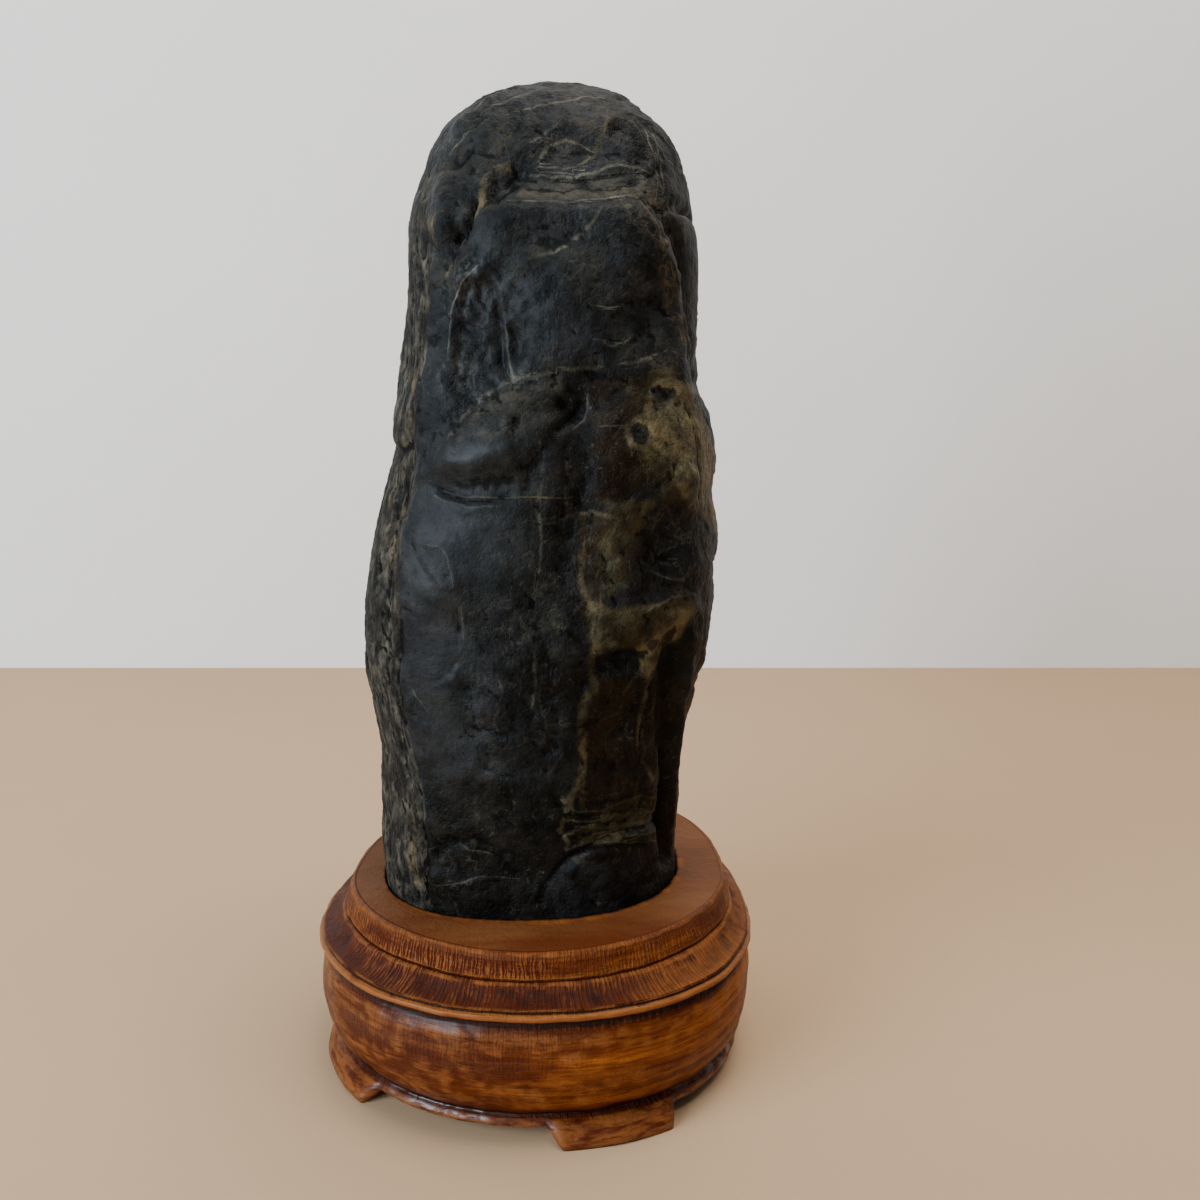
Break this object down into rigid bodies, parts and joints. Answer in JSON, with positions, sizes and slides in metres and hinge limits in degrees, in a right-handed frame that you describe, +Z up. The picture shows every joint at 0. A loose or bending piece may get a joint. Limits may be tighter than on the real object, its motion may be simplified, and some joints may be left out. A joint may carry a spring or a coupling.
{
  "type": "scholars rock",
  "caption": "Tall dark viewing stone with a domed top, creased front and ochre veins, standing in a carved lacquered wood stand with flared feet.",
  "frame": {"origin": "under the middle of the stand, on the plane of the undersides of its feet", "axes": "+Z up along the stone, -Y towards the viewer of the stone's front, +X to that viewer's right"},
  "size_m": [0.1284, 0.1374, 0.2766],
  "materials": {
    "stone": "satin, waxed, black with olive and ochre veins",
    "lacquered_wood": "glossy red brown lacquer, worn matte on the top face"
  },
  "bodies": {
    "root": {"stone": "stone", "stand": "lacquered_wood"}
  },
  "joints": []
}
